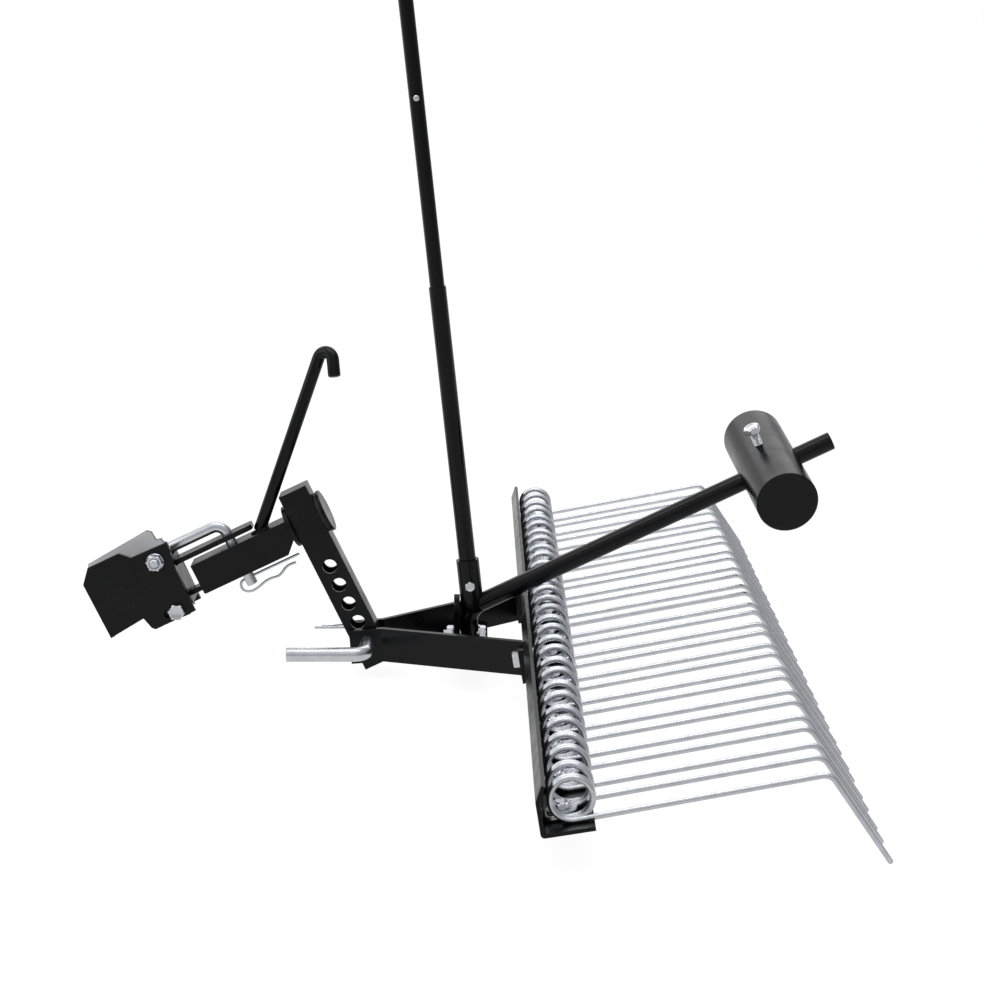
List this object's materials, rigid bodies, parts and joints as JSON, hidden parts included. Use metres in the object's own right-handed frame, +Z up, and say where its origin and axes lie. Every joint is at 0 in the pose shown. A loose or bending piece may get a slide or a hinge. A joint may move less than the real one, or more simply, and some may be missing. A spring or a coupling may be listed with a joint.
{
  "type": "tow-behind lawn dethatcher",
  "caption": "Rake-type lawn dethatcher for a garden tractor: hinged hitch, height-set upright, lift lever, sliding weight and a bar of double spring tines.",
  "frame": {"origin": "middle of the flat front face of the tractor plate, half way between its two bolt holes", "axes": "+X rearward away from the tractor, +Y along the tine bar, +Z up; the tractor face leans forward at its top, square to the drawbar, which rises 25.5 degrees to the rear"},
  "size_m": [0.6562, 0.99, 0.7478],
  "materials": {
    "black_steel": "semi-gloss black powder coat",
    "zinc_steel": "bright zinc plating",
    "spring_wire": "zinc plated spring steel wire",
    "black_rubber": "matt moulded"
  },
  "bodies": {
    "tractor_mount": {"tractor_plate": "black_steel", "bracket_bolts": "zinc_steel", "bracket_nuts": "zinc_steel", "bracket_washers": "zinc_steel"},
    "tilt_bracket": {"hitch_bracket": "black_steel", "top_tongue": "black_steel", "bottom_tongue": "black_steel"},
    "hitch_pin_body": {"hitch_pin": "zinc_steel", "hitch_pin_clip": "zinc_steel"},
    "drawbar": {"drawbar_tube": "black_steel", "pivot_flange": "black_steel", "roll_bolt": "black_steel", "thrust_washer": "black_rubber", "lock_hook": "black_steel"},
    "upright_post": {"upright": "black_steel"},
    "height_pin_body": {"height_pin": "zinc_steel", "height_pin_clip": "zinc_steel"},
    "rake": {"near_arm": "black_steel", "far_arm": "black_steel", "stop_bar": "black_steel", "cross_member": "black_steel", "arm_bolts": "zinc_steel", "arm_nuts": "zinc_steel", "lever_lug": "black_steel", "rod_clamp_bolt": "zinc_steel", "rod_clamp_nut": "zinc_steel", "weight_rod": "black_steel", "lever_socket": "black_steel", "socket_bolt": "zinc_steel", "lever_lower": "black_steel", "tine_bar": "black_steel", "tine_bolts": "zinc_steel", "tine_washers": "zinc_steel", "tine_nuts": "zinc_steel", "tine_01": "spring_wire", "tine_02": "spring_wire", "tine_03": "spring_wire", "tine_04": "spring_wire", "tine_05": "spring_wire", "tine_06": "spring_wire", "tine_07": "spring_wire", "tine_08": "spring_wire", "tine_09": "spring_wire", "tine_10": "spring_wire", "tine_11": "spring_wire", "tine_12": "spring_wire", "tine_13": "spring_wire", "tine_14": "spring_wire", "tine_15": "spring_wire"},
    "lever_top": {"lever_upper": "black_steel", "stop_rivet": "zinc_steel", "lever_grip": "black_rubber"},
    "weight": {"counterweight": "black_steel"},
    "weight_clamp": {"weight_bolt": "zinc_steel"}
  },
  "joints": [
    {"name": "bracket_tilt", "type": "hinge", "parent": "tractor_mount", "child": "tilt_bracket", "pos_m": [0.05274, 0, 0.04598], "axis": [0, -1, 0], "range_deg": [0, 9]},
    {"name": "hitch_pin_turn", "type": "hinge", "parent": "tilt_bracket", "child": "hitch_pin_body", "pos_m": [0.11779, 0, 0.05618], "axis": [-0.4305, 0, 0.9026], "range_deg": [-14, 14]},
    {"name": "drawbar_swing", "type": "hinge", "parent": "tilt_bracket", "child": "drawbar", "pos_m": [0.11779, 0, 0.05618], "axis": [-0.4305, 0, 0.9026], "range_deg": [-5, 5]},
    {"name": "drawbar_roll", "type": "hinge", "parent": "drawbar", "child": "upright_post", "pos_m": [0.17223, 0, 0.07329], "axis": [0.9026, 0, 0.4305], "range_deg": [-12, 12]},
    {"name": "frame_pitch", "type": "hinge", "parent": "upright_post", "child": "rake", "pos_m": [0.23555, 0, -0.02836], "axis": [0, -1, 0], "range_deg": [0, 19]},
    {"name": "height_pin_turn", "type": "hinge", "parent": "rake", "child": "height_pin_body", "pos_m": [0.23555, 0, -0.02836], "axis": [0, 1, 0], "range_deg": [-60, 60]},
    {"name": "lever_telescope", "type": "slide", "parent": "rake", "child": "lever_top", "axis": [-0.1045, 0, 0.9945], "range_m": [-0.155, 0.04]},
    {"name": "weight_slide", "type": "slide", "parent": "rake", "child": "weight", "axis": [0.9033, 0, 0.4289], "range_m": [-0.17, 0.03]},
    {"name": "weight_bolt_turn", "type": "hinge", "parent": "weight", "child": "weight_clamp", "pos_m": [0.58797, 0, 0.12272], "axis": [-0.4196, -0.2079, 0.8836], "continuous": true}
  ]
}
